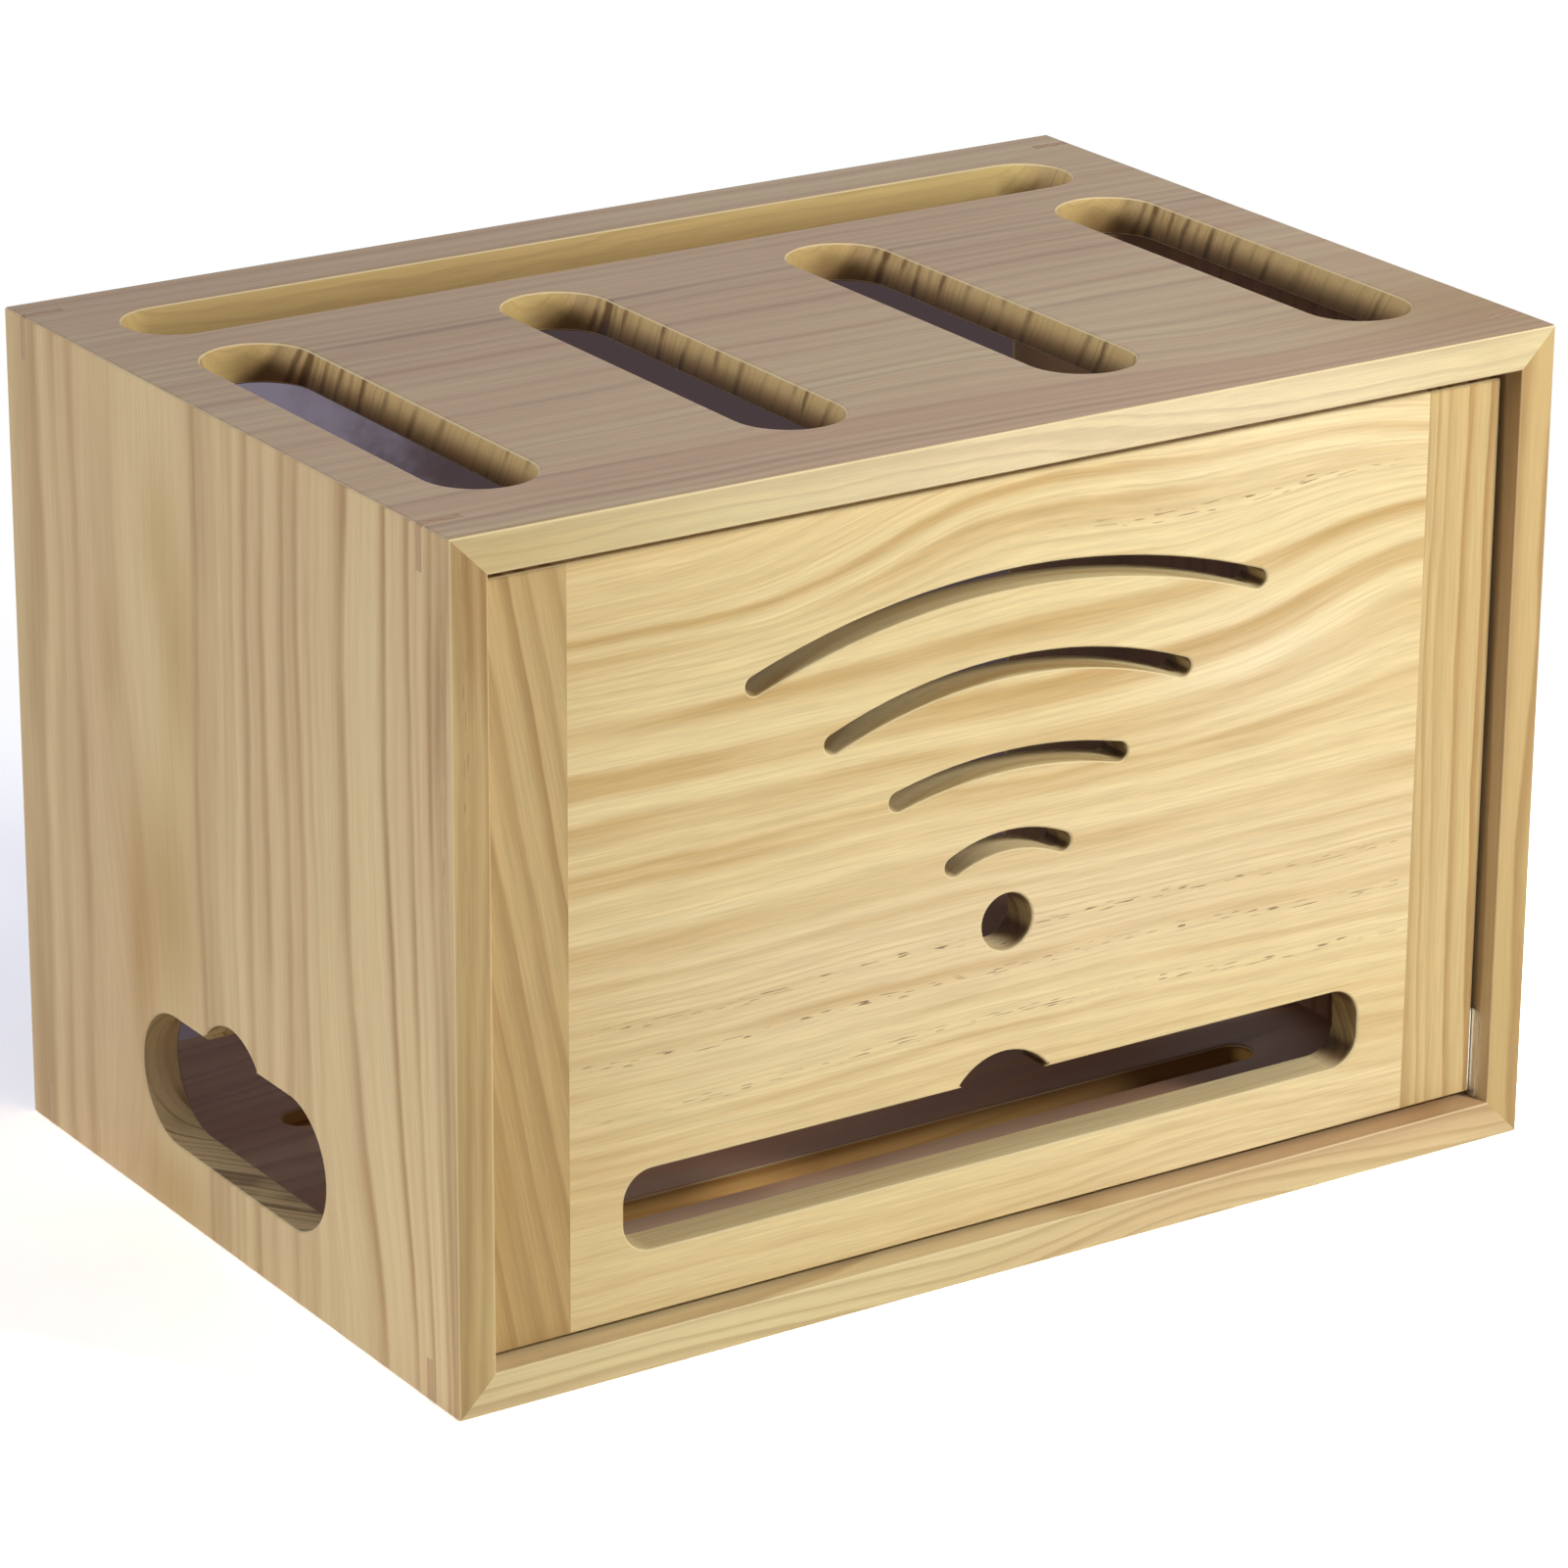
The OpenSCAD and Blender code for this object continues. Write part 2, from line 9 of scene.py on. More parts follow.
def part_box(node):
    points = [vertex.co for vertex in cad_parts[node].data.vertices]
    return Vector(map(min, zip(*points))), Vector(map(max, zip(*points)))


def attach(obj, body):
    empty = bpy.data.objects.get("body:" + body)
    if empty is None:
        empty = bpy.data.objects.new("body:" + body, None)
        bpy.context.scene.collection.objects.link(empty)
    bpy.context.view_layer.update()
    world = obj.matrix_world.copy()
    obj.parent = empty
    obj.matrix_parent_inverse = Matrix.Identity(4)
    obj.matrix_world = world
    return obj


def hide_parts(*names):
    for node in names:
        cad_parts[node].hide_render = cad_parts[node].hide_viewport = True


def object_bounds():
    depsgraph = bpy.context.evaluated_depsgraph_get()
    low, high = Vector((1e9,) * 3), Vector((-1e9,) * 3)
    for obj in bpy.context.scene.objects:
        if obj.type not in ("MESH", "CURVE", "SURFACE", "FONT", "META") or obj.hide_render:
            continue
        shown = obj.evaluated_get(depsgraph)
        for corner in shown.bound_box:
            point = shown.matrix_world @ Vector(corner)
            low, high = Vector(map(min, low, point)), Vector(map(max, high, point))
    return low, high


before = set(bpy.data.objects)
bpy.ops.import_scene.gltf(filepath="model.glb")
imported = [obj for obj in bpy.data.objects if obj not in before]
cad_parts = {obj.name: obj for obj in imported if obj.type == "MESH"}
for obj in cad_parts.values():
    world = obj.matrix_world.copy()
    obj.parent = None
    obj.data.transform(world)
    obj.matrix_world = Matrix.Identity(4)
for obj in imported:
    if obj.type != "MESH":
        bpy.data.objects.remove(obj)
cad_box = [list(corner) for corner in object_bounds()]


# Camera
# It stands in front and to the left of the box, a little above it, and its long lens keeps
# the uprights nearly parallel. It looks at the middle of the case.

scene = bpy.context.scene
case_low, case_high = (Vector(corner) for corner in cad_box)
case_middle = (case_low + case_high) / 2
case_width = case_high.x - case_low.x

view_turn = 33.4
view_rise = 20.49
view_roll = math.radians(0.38)
view_distance = 5.11 * case_width
view_right = -0.0062 * case_width
view_up = 0.045 * case_width
film_width = 36
lens_length = 146.9
sight_end = 50


def bearing(turn, rise):
    """The direction from the middle of the case that lies turn degrees to the left of straight
    out of the front and rise degrees above level."""
    turn, rise = math.radians(turn), math.radians(rise)
    level = math.cos(rise)
    return Vector((-math.sin(turn) * level, -math.cos(turn) * level, math.sin(rise)))


def aim_camera():
    """Puts the camera on the line of sight, moved across it by the framing, with a small roll."""
    back = bearing(view_turn, view_rise)
    right = Vector((0, 0, 1)).cross(back).normalized()
    up = back.cross(right)
    across = right * math.cos(view_roll) + up * math.sin(view_roll)
    upward = up * math.cos(view_roll) - right * math.sin(view_roll)
    camera = bpy.data.objects.new("camera", bpy.data.cameras.new("camera"))
    scene.collection.objects.link(camera)
    camera.location = case_middle + back * view_distance - across * view_right - upward * view_up
    camera.rotation_mode = "QUATERNION"
    camera.rotation_quaternion = Matrix((across, upward, back)).transposed().to_quaternion()
    camera.data.sensor_width = film_width
    camera.data.lens = lens_length
    camera.data.clip_end = sight_end
    scene.camera = camera


aim_camera()


# Lamps
# A warm soft box close by, in front and to the right, and a weaker low window far to the left.
# Colours are shown as they are, with no look laid over them.

scene.view_settings.view_transform = "Standard"

key_turn = -28
key_rise = 29
key_distance = 1.4
key_width = 0.3
key_light = 2.3
key_colour = (1.0, 0.94, 0.8)

side_turn = 92
side_rise = 13
side_distance = 3
side_spread = math.radians(14)
side_light = 1.6
side_colour = (1.0, 0.95, 0.88)


def stand_lamp(light, turn, rise, distance, colour):
    """Stands a lamp on a bearing at a distance from the middle of the case, facing the middle."""
    light.color = colour
    source = bpy.data.objects.new(light.name, light)
    scene.collection.objects.link(source)
    direction = bearing(turn, rise)
    source.location = case_middle + direction * distance
    source.rotation_mode = "QUATERNION"
    source.rotation_quaternion = direction.to_track_quat("Z", "Y")
    source.visible_camera = False


def key_lamp():
    """A round soft box. A disc of P watts lights a face at the distance d with P / (pi d d)."""
    light = bpy.data.lights.new("key_lamp", "AREA")
    light.shape = "DISK"
    light.size = key_width
    light.energy = key_light * math.pi * key_distance ** 2
    stand_lamp(light, key_turn, key_rise, key_distance, key_colour)


def side_lamp():
    """A low window, so far off that its light comes in nearly parallel."""
    light = bpy.data.lights.new("side_lamp", "SUN")
    light.angle = side_spread
    light.energy = side_light
    stand_lamp(light, side_turn, side_rise, side_distance, side_colour)


key_lamp()
side_lamp()


# Floor
# A seamless sheet of pale paper at height zero that keeps the shadow of the box. The eye sees
# it lifted to white where nothing shades it, and plain white further out, where the lamps fade.

floor_reach = 8.0
floor_grey = (0.8, 0.8, 0.8, 1)
floor_to_the_eye = (3.1, 3.22, 3.62, 1)
shadow_reach = 0.3
white_from = 0.6
white = (1, 1, 1, 1)


class Wiring:
    """A node tree with short calls for the few kinds of node that the finishes need. A value
    may be a number, a colour, a vector or the output of another node. The functions below
    call a material's wiring w for short."""

    def __init__(self, tree):
        self.tree = tree

    def plug(self, value, target):
        """Links an output to an input, or sets the input to a plain value."""
        if isinstance(value, bpy.types.NodeSocket):
            self.tree.links.new(value, target)
        else:
            target.default_value = value

    def fill(self, node, values):
        """Plugs values into the inputs of a node, each by its name or its number."""
        for name, value in values.items():
            self.plug(value, node.inputs[name])

    def add(self, kind, **values):
        """A new node with its inputs filled by name, an underscore standing for each space."""
        node = self.tree.nodes.new("ShaderNode" + kind)
        self.fill(node, {name.replace("_", " "): value for name, value in values.items()})
        return node

    def group(self, group, values):
        """The outputs of a new copy of a node group, with its inputs filled."""
        node = self.add("Group")
        node.node_tree = group
        self.fill(node, values)
        return node.outputs

    def math(self, operation, a, b=0.0, clamp=False):
        """One step of arithmetic."""
        node = self.add("Math")
        node.operation = operation
        node.use_clamp = clamp
        self.fill(node, {0: a, 1: b})
        return node.outputs[0]

    def vector(self, operation, a, b=(0.0, 0.0, 0.0)):
        """One step of arithmetic on vectors, which gives a vector, a length or a product."""
        node = self.add("VectorMath")
        node.operation = operation
        self.fill(node, {0: a, 1: b})
        return node.outputs["Value" if operation in ("LENGTH", "DOT_PRODUCT") else "Vector"]

    def scaled(self, vector, amount):
        """A vector made longer or shorter."""
        node = self.add("VectorMath")
        node.operation = "SCALE"
        self.fill(node, {0: vector, "Scale": amount})
        return node.outputs["Vector"]

    def split(self, vector):
        """The three parts of a vector, by the names X, Y and Z."""
        return self.add("SeparateXYZ", Vector=vector).outputs

    def ramp(self, value, low, high, start=0.0, end=1.0):
        """A smooth step from start to end while the value goes from low to high."""
        node = self.add("MapRange")
        node.interpolation_type = "SMOOTHSTEP"
        self.fill(node, {
            "Value": value, "From Min": low, "From Max": high, "To Min": start, "To Max": end,
        })
        return node.outputs["Result"]

    def blend(self, amount, a, b, kind="MIX"):
        """Colour a going over to colour b, or multiplied by it."""
        node = self.add("Mix")
        node.data_type = "RGBA"
        node.blend_type = kind
        self.fill(node, {"Factor": amount, "A": a, "B": b})
        return node.outputs["Result"]

    def mix_shaders(self, amount, first, second):
        """One shader going over to another."""
        node = self.add("MixShader")
        self.fill(node, {0: amount, 1: first.outputs[0], 2: second.outputs[0]})
        return node

    def noise(self, place, stretch, detail=2.0, rough=0.5, colour=False):
        """Noise on a place stretched by a number per axis, in waves per metre."""
        node = self.add(
            "TexNoise", Vector=self.vector("MULTIPLY", place, stretch),
            Scale=1.0, Detail=detail, Roughness=rough,
        )
        return node.outputs["Color" if colour else "Fac"]

    def bump(self, height, strength, distance):
        """The normal of a surface with a fine relief."""
        return self.add("Bump", Height=height, Strength=strength, Distance=distance).outputs["Normal"]

    def white_to_the_eye(self):
        """One where a ray comes from the camera, a mirror or glass, zero where it carries light."""
        ray = self.add("LightPath").outputs
        seen = self.math("MAXIMUM", ray["Is Camera Ray"], ray["Is Glossy Ray"])
        return self.math("MAXIMUM", seen, ray["Is Transmission Ray"])


def new_material(name):
    """An empty node material and its wiring."""
    material = bpy.data.materials.new(name)
    material.use_nodes = True
    material.node_tree.nodes.clear()
    return material, Wiring(material.node_tree)


def flat_sheet(name, corners, material):
    """A sheet of one face that belongs to the studio and not to the box."""
    mesh = bpy.data.meshes.new(name)
    mesh.from_pydata(corners, [], [(0, 1, 2, 3)])
    mesh.materials.append(material)
    sheet = bpy.data.objects.new(name, mesh)
    scene.collection.objects.link(sheet)
    return sheet


def floor_paper():
    """Grey paper to the light, and to the eye a brighter paper that goes over to white."""
    material, w = new_material("floor_paper")
    paper = w.add("BsdfDiffuse", Color=floor_grey)
    seen = w.add("BsdfDiffuse", Color=floor_to_the_eye)
    bright = w.add("Emission", Color=white)
    where = w.add("TexCoord").outputs["Object"]
    outward = w.ramp(w.vector("LENGTH", where), shadow_reach, white_from)
    to_the_eye = w.mix_shaders(outward, seen, bright)
    surface = w.mix_shaders(w.white_to_the_eye(), paper, to_the_eye)
    w.add("OutputMaterial", Surface=surface.outputs[0])
    return material


floor_corners = [
    (floor_reach * x, floor_reach * y, 0) for x, y in ((-1, -1), (1, -1), (1, 1), (-1, 1))
]
floor = flat_sheet("floor", floor_corners, floor_paper())


# Room
# White walls far off: weak pale light from all round, seen as pure white by the camera and in
# gloss.

room_light = 0.15
room_colour = (0.97, 0.98, 1.03, 1)


def fill_room():
    """Sets the world's light."""
    world = bpy.data.worlds.new("room")
    scene.world = world
    world.use_nodes = True
    world.node_tree.nodes.clear()
    w = Wiring(world.node_tree)
    cast = w.add("Background", Color=room_colour, Strength=room_light)
    seen = w.add("Background", Color=white, Strength=1.0)
    surface = w.mix_shaders(w.white_to_the_eye(), cast, seen)
    w.add("OutputWorld", Surface=surface.outputs[0])


fill_room()


# Cloth in painted shade
# A sheet hangs close behind the open back and glows with painted shade: a cloth in the shadow
# of the box, darker to the right and lower down. Only its side that faces the box shows. It is
# thin, so some of the light from behind comes through.

cloth_inset = 0.005
cloth_gap = 0.001
cloth_thinness = 0.3
border_wobble = 0.07
dark_beside = (-0.065, 0.005)
dark_below = (0.24, 0.1)


def srgb(red, green, blue):
    """A colour as it is seen, from 0 to 255, turned into linear light."""
    parts = np.array([red, green, blue]) / 255.0
    linear = np.where(parts <= 0.04045, parts / 12.92, ((parts + 0.055) / 1.055) ** 2.4)
    return (*linear.tolist(), 1.0)


def painted_shade_cloth():
    """Painted shade that glows: darker to the right and lower down, with uneven borders, and clear
    from behind.
    """
    material, w = new_material("painted_shade_cloth")
    where = w.add("TexCoord").outputs["Object"]
    place = w.split(where)
    wobble = w.math("MULTIPLY", w.noise(where, (60, 60, 75), 3.0, 0.6), border_wobble)
    aside = w.ramp(w.math("ADD", place["X"], wobble), *dark_beside)
    below = w.ramp(w.math("ADD", place["Z"], wobble), *dark_below)
    shade = w.math("MAXIMUM", aside, w.math("MULTIPLY", below, 0.8))
    # Painted shade that glows: the cloth in the shadow of the box, lighter to the left and higher up.
    glow = w.add("Emission", Color=w.blend(shade, srgb(120, 113, 125), srgb(73, 60, 62)))
    unseen = w.math("SUBTRACT", 1.0, w.add("LightPath").outputs["Is Camera Ray"])
    behind = w.add("NewGeometry").outputs["Backfacing"]
    passed = w.math("MAXIMUM", behind, w.math("MULTIPLY", unseen, cloth_thinness))
    surface = w.mix_shaders(passed, glow, w.add("BsdfTransparent"))
    w.add("OutputMaterial", Surface=surface.outputs[0])
    return material


cloth_left, cloth_right = case_low.x + cloth_inset, case_high.x - cloth_inset
cloth_foot, cloth_head = case_low.z + cloth_inset, case_high.z - cloth_inset
cloth_y = case_high.y + cloth_gap
cloth = flat_sheet(
    "cloth",
    [
        (cloth_left, cloth_y, cloth_foot), (cloth_right, cloth_y, cloth_foot),
        (cloth_right, cloth_y, cloth_head), (cloth_left, cloth_y, cloth_head),
    ],
    painted_shade_cloth(),
)


# Case boards
# Four planed pine boards, mitred at the corners and glued, with their edges broken by hand.
# The grain runs across the top and bottom and up the two sides, and shows as end grain
# in the walls of the slots.

weld_distance = 1e-6
flat_within = math.radians(0.4)
sharp_from = math.radians(58)


def planed(node, name, body, material):
    """The solid's own surface with its loose triangles joined, flat faces kept flat and broken
    edges shaded round, standing for the solid."""
    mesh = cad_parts[node].data.copy()
    shape = bmesh.new()
    shape.from_mesh(mesh)
    bmesh.ops.remove_doubles(shape, verts=shape.verts, dist=weld_distance)
    bmesh.ops.dissolve_limit(
        shape, angle_limit=flat_within, verts=shape.verts, edges=shape.edges
    )
    for face in shape.faces:
        face.smooth = True
    for edge in shape.edges:
        edge.smooth = len(edge.link_faces) == 2 and edge.calc_face_angle() < sharp_from
    shape.to_mesh(mesh)
    shape.free()
    mesh.materials.clear()
    mesh.materials.append(material)
    piece = bpy.data.objects.new(name, mesh)
    scene.collection.objects.link(piece)
    ease = piece.modifiers.new("even_shading", "WEIGHTED_NORMAL")
    ease.keep_sharp = True
    ease.weight = 100
    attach(piece, body)
    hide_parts(node)
    return piece


def open_group(name, vectors, numbers, results):
    """An empty node group with vectors and numbers going in and numbers coming out, with its
    wiring, the sockets that bring its inputs and the sockets that take its outputs."""
    group = bpy.data.node_groups.new(name, "ShaderNodeTree")
    for label in vectors:
        group.interface.new_socket(label, in_out="INPUT", socket_type="NodeSocketVector")
    for label in numbers:
        group.interface.new_socket(label, in_out="INPUT", socket_type="NodeSocketFloat")
    for label in results:
        group.interface.new_socket(label, in_out="OUTPUT", socket_type="NodeSocketFloat")
    source = group.nodes.new("NodeGroupInput")
    sink = group.nodes.new("NodeGroupOutput")
    return group, Wiring(group), source.outputs, sink


def soft_spot_group():
    """One at a centre and fading round it as a bell curve: exp(-|(place - centre) / reach|
    squared). Growth lines swerve round a hidden knot by it, and stains and patches of painted shade
    fade out by it."""
    group, w, given, sink = open_group("soft_spot", ("Place", "Centre", "Reach"), (), ("Fade",))
    away = w.vector("SUBTRACT", given["Place"], given["Centre"])
    away = w.vector("DIVIDE", away, given["Reach"])
    fade = w.math("EXPONENT", w.math("MULTIPLY", w.vector("DOT_PRODUCT", away, away), -1.0))
    w.fill(sink, {"Fade": fade})
    return group


def pine_log_group():
    """A pine log. Place has x along the grain and y, z across it, measured from the pith. The
    place wanders slowly along the log, and its distance from the pith is the radius whose
    steps are the growth rings. Fibre is fine streaks along the grain, Dash short resin ducts,
    Cloud a slow change of tone, and Fade the way that one line comes and goes."""
    group, w, given, sink = open_group(
        "pine_log", ("Place",), ("Wander", "Waviness"), ("Radius", "Fibre", "Dash", "Cloud", "Fade")
    )
    place = given["Place"]
    centre = (0.5, 0.5, 0.5)
    slow = w.vector("SUBTRACT", w.noise(place, (6.5, 15, 15), 1.0, 0.4, True), centre)
    quick = w.vector("SUBTRACT", w.noise(place, (20, 60, 60), 1.0, 0.5, True), centre)
    fine = w.vector("SUBTRACT", w.noise(place, (60, 260, 260), 2.0, 0.6, True), centre)
    moved = w.vector("ADD", place, w.scaled(slow, given["Wander"]))
    moved = w.vector("ADD", moved, w.scaled(quick, given["Waviness"]))
    moved = w.vector("ADD", moved, w.vector("MULTIPLY", fine, (0.0, 0.0008, 0.0008)))
    w.fill(sink, {
        "Radius": w.vector("LENGTH", w.vector("MULTIPLY", moved, (0.0, 1.0, 1.0))),
        "Fibre": w.noise(place, (38, 1300, 1300), 3.0, 0.65),
        "Dash": w.ramp(w.noise(place, (150, 2300, 2300), 0.0), 0.64, 0.72),
        "Cloud": w.noise(place, (3.0, 22, 22), 2.0, 0.5),
        "Fade": w.ramp(w.noise(place, (9, 75, 75), 1.0, 0.5), 0.3, 0.65, 0.5, 1.1),
    })
    return group


def noise_along(w, value, scale):
    """Noise along one number."""
    node = w.add("TexNoise", Scale=scale, Detail=1.0)
    node.noise_dimensions = "1D"
    w.fill(node, {"W": value})
    return node.outputs["Fac"]


def growth_rings_group():
    """Rings counted along a radius. Each ring darkens slowly over its late part up to its peak
    and then ends sharply. No two are equally dark, and Band is a slower change of tone."""
    group, w, given, sink = open_group(
        "growth_rings", (), ("Radius", "Ring Width", "Late Share"), ("Late Wood", "Band")
    )
    peak = 0.86
    rings = w.math("DIVIDE", given["Radius"], given["Ring Width"])
    rings = w.math("ADD", rings, w.math("MULTIPLY", noise_along(w, rings, 0.45), 1.4))
    within = w.math("FRACT", rings)
    rise = w.ramp(within, w.math("SUBTRACT", peak, given["Late Share"]), peak)
    fall = w.ramp(within, peak, 1.0, 1.0, 0.0)
    tone = w.add("TexWhiteNoise")
    tone.noise_dimensions = "1D"
    w.fill(tone, {"W": w.math("FLOOR", rings)})
    strength = w.math("ADD", w.math("MULTIPLY", tone.outputs["Value"], 0.7), 0.3)
    late = w.math("MULTIPLY", w.math("MULTIPLY", rise, fall), strength)
    w.fill(sink, {"Late Wood": late, "Band": noise_along(w, rings, 0.21)})
    return group


soft_spot = soft_spot_group()
pine_log = pine_log_group()
growth_rings = growth_rings_group()


def fading(w, place, centre, reach):
    """One at a centre and next to nothing at twice the reach from it, per axis."""
    return w.group(soft_spot, {"Place": place, "Centre": centre, "Reach": reach})["Fade"]


def radius_at(point, log):
    """The distance of a point from the pith, across the grain."""
    across = (0, 1) if log["along"] == "Z" else (1, 2)
    return math.hypot(*(point[i] - log["pith"][i] for i in across))


def lay_log(w, origin, log, swerves):
    """Lays the log in the board, pushed aside by each swerve, and counts its rings."""
    place = origin
    for centre, reach, push in swerves:
        place = w.vector("ADD", place, w.scaled(push, fading(w, origin, centre, reach)))
    quarter = math.radians(90 if log["along"] == "Z" else 0)
    laid = w.add(
        "Mapping", Vector=w.vector("SUBTRACT", place, log["pith"]),
        Rotation=(0, quarter + math.radians(log.get("lean", 0.0)), 0),
    )
    growth = w.group(pine_log, {
        "Place": laid.outputs["Vector"], "Wander": log["wander"], "Waviness": log["waviness"],
    })
    rings = w.group(growth_rings, {
        "Radius": growth["Radius"], "Ring Width": log["ring"], "Late Share": log["late"],
    })
    return growth, rings


def late_bands(w, radius, bands):
    """Late wood laid out line by line. Each band is a radius, a width and a depth of tone. The
    tone climbs slowly to its depth and then falls away sharply, as half of two bell curves."""
    margin, climb, drop, count = 0.01, 0.8, 0.28, 256
    spots = np.array(bands)
    low, high = spots[:, 0].min() - margin, spots[:, 0].max() + margin
    steps = np.linspace(low, high, count)
    away = (steps[:, None] - spots[:, 0]) / spots[:, 1]
    bell = np.exp(-np.where(away < 0, away / climb, away / drop) ** 2)
    tone = np.clip((bell * spots[:, 2]).sum(axis=1), 0.0, 1.0)
    node = w.add("FloatCurve")
    curve = node.mapping.curves[0]
    for _ in range(count - 2):
        curve.points.new(0.5, 0.5)
    for point, step, depth in zip(curve.points, np.linspace(0.0, 1.0, count), tone):
        point.location = (float(step), float(depth))
        point.handle_type = "VECTOR"
    node.mapping.update()
    across = w.math("DIVIDE", w.math("SUBTRACT", radius, float(low)), float(high - low), clamp=True)
    w.fill(node, {"Value": across})
    return node.outputs["Value"]


inside_skin = 0.0004
back_rim = 0.002
rim_start = 0.0016
rim_full = 0.0008
door_low, door_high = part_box("door_panel")
inner_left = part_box("left_side")[1].x
inner_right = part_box("right_side")[0].x
inner_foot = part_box("bottom_board")[1].z
inner_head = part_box("top_board")[0].z


def inside_case(w, place):
    """One on the faces inside the case behind the door and zero elsewhere."""
    low = (inner_left - inside_skin, door_high.y - inside_skin, inner_foot - inside_skin)
    high = (inner_right + inside_skin, case_high.y - back_rim, inner_head + inside_skin)
    within = 1.0
    for axis, a, b in zip("XYZ", low, high):
        over = w.math("GREATER_THAN", place[axis], a)
        under = w.math("LESS_THAN", place[axis], b)
        within = w.math("MULTIPLY", within, w.math("MULTIPLY", over, under))
    return within


def board_masks(w, where, along, flat_axis):
    """Where a board shows each kind of surface, from zero to one. A cut is any surface that
    turns away from the flat faces, and a wall is a cut that isn't part of the rim, the front
    or back edge of the case. The arris is the broken edge between a cut and a flat face, and
    level is the place along the axis that the flat faces look along."""
    facing = w.split(where["Normal"])
    place = w.split(where["Object"])
    flat = w.math("ABSOLUTE", facing[flat_axis])
    cut = w.ramp(flat, 0.3, 0.75, 1.0, 0.0)
    depth = w.math("ABSOLUTE", place["Y"])
    rim = w.ramp(depth, case_high.y - rim_start, case_high.y - rim_full)
    lengthwise = w.math("ABSOLUTE", facing[along])
    return {
        "cut": cut,
        "walls": w.math("MULTIPLY", cut, w.math("SUBTRACT", 1.0, rim)),
        "fore_edge": w.math("MULTIPLY", rim, w.ramp(facing["Y"], -0.5, -0.8)),
        "arris": w.ramp(w.math("MULTIPLY", flat, w.math("SUBTRACT", 1.0, flat)), 0.1, 0.2),
        "end_grain": w.ramp(lengthwise, 0.35, 0.95, 0.0, 0.85),
        "inside": inside_case(w, place),
        "level": place[flat_axis],
    }


def tinted_wood(w, origin, growth, rings, looks, stains_and_shade):
    """Early wood with its slow clouds, its shifts from ring to ring and its stains and patches of
    painted shade.
    """
    clouds = w.ramp(growth["Cloud"], 0.35, 0.65, 0.0, looks["cloud"])
    colour = w.blend(clouds, looks["early"], looks["tint"])
    shifts = w.ramp(rings["Band"], 0.4, 0.7, 0.0, looks["band"])
    colour = w.blend(shifts, colour, looks["tint"])
    for centre, reach, strength, tone in stains_and_shade:
        patch = w.math("MULTIPLY", fading(w, origin, centre, reach), strength)
        colour = w.blend(patch, colour, tone)
    return colour


def deep_shade_mask(w, where, masks, looks):
    """Where painted shade darkens a wall: more with depth, from the level where it starts to
    the level where it is full, and less on walls that face towards a lamp. Each way towards a
    lamp has the share of facing from which it counts and the least shade that it leaves."""
    start_level, full_level = looks["deep_shade_levels"]
    darkened = w.math("MULTIPLY", masks["walls"], w.ramp(masks["level"], start_level, full_level))
    for way, start, least in looks["toward_lamps"]:
        facing = w.vector("DOT_PRODUCT", where["Normal"], way)
        darkened = w.math("MULTIPLY", darkened, w.ramp(facing, start, 1.0, 1.0, least))
    return darkened


def shaded_and_toned(w, mask, colour, factor):
    """A colour multiplied by a factor where a mask is one, for painted light and shade as well as the
    wood's own tone.
    """
    return w.blend(mask, colour, w.blend(1.0, colour, factor, "MULTIPLY"))


resin_brown = srgb(104, 76, 48)


def resin_row(w, origin, growth, colour, looks, radius, centre, reach):
    """A colour with short dark ducts in a line at one radius, fading out round a centre."""
    away = w.math("ABSOLUTE", w.math("SUBTRACT", growth["Radius"], radius))
    ducts = w.math("MULTIPLY", w.ramp(away, 0.0003, 0.0012, 1.0, 0.0), growth["Dash"])
    ducts = w.math("MULTIPLY", ducts, fading(w, origin, centre, reach))
    return w.blend(w.math("MULTIPLY", ducts, looks["fleck"]), colour, resin_brown)


